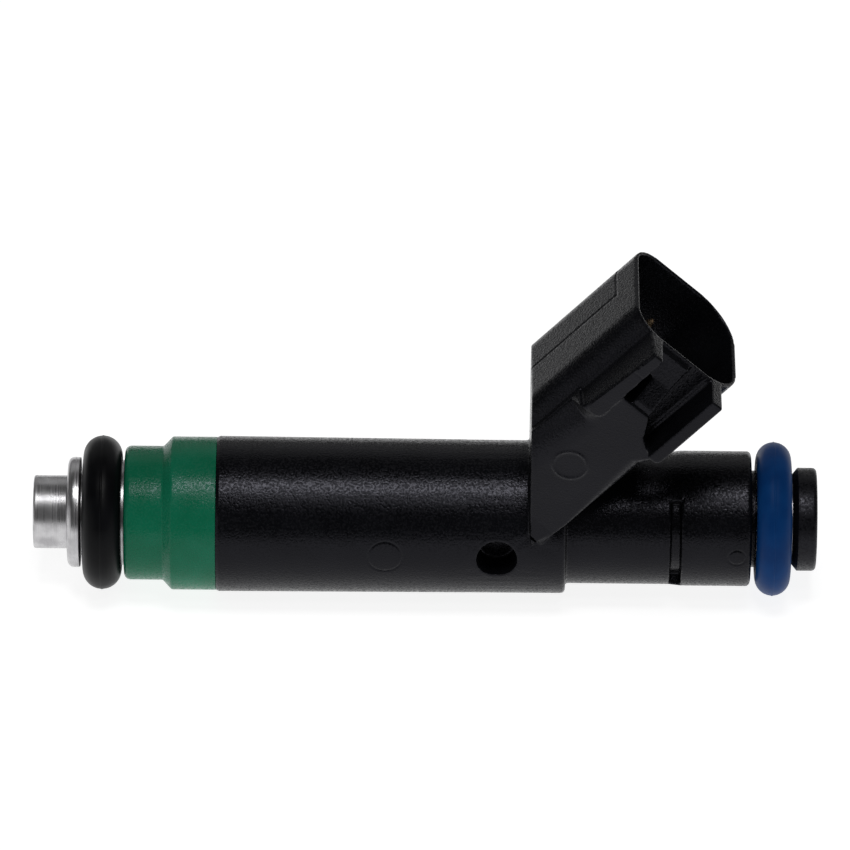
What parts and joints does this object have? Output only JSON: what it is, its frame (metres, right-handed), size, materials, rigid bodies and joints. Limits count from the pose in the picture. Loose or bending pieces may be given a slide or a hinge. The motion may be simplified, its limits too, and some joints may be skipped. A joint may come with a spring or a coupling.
{
  "type": "fuel injector",
  "caption": "Long port fuel injector: black moulded barrel with a green nose sleeve, slanted plug socket, turned steel tip and a sealing ring at each end.",
  "frame": {"origin": "on the injector's axis, at the middle of the lower sealing ring, where it seals in the manifold", "axes": "+X along the axis towards the fuel inlet, +Z on the side the plug socket leans to, +Y away from the side with the latch rails"},
  "size_m": [0.0743, 0.0177, 0.0344],
  "materials": {
    "steel": "turned stainless steel, fine turning marks on the tip",
    "soft_steel": "plain magnetic steel",
    "spring_wire": "drawn spring wire",
    "mesh": "fine woven screen",
    "black_moulding": "black glass-filled nylon, fine grained satin",
    "black_collar": "black moulded collar, satin",
    "green_moulding": "green glass-filled nylon, satin",
    "black_rubber": "black sealing rubber, slightly shiny",
    "blue_rubber": "blue sealing rubber, slightly shiny",
    "natural_moulding": "unpigmented bobbin and filter plastic",
    "copper_wire": "enamelled copper winding",
    "terminal_metal": "tinned brass blade, bright"
  },
  "bodies": {
    "injector_body": {"overmold": "black_moulding", "nose_cap": "green_moulding", "nozzle_body": "steel", "manifold_oring": "black_rubber", "rail_oring": "blue_rubber", "inlet_retainer": "black_collar", "inlet_tube": "steel", "terminal_left": "terminal_metal", "terminal_right": "terminal_metal", "orifice_plate": "steel", "valve_seat": "steel", "lower_guide": "steel", "lift_ring": "steel", "return_spring": "spring_wire", "pole_piece": "soft_steel", "adjusting_tube": "steel", "guide_tube": "steel", "solenoid_can": "soft_steel", "flux_washer": "soft_steel", "coil_bobbin": "natural_moulding", "coil_winding": "copper_wire", "inlet_filter": "natural_moulding", "filter_mesh": "mesh"},
    "needle_valve": {"needle": "steel", "ball": "steel", "armature": "soft_steel"}
  },
  "joints": [
    {"name": "needle_lift", "type": "slide", "parent": "injector_body", "child": "needle_valve", "axis": [1, 0, 0], "range_m": [0, 0.00015], "stiffness_N_per_m": 3000, "springref_m": -0.0012, "deforming": ["return_spring"]}
  ]
}
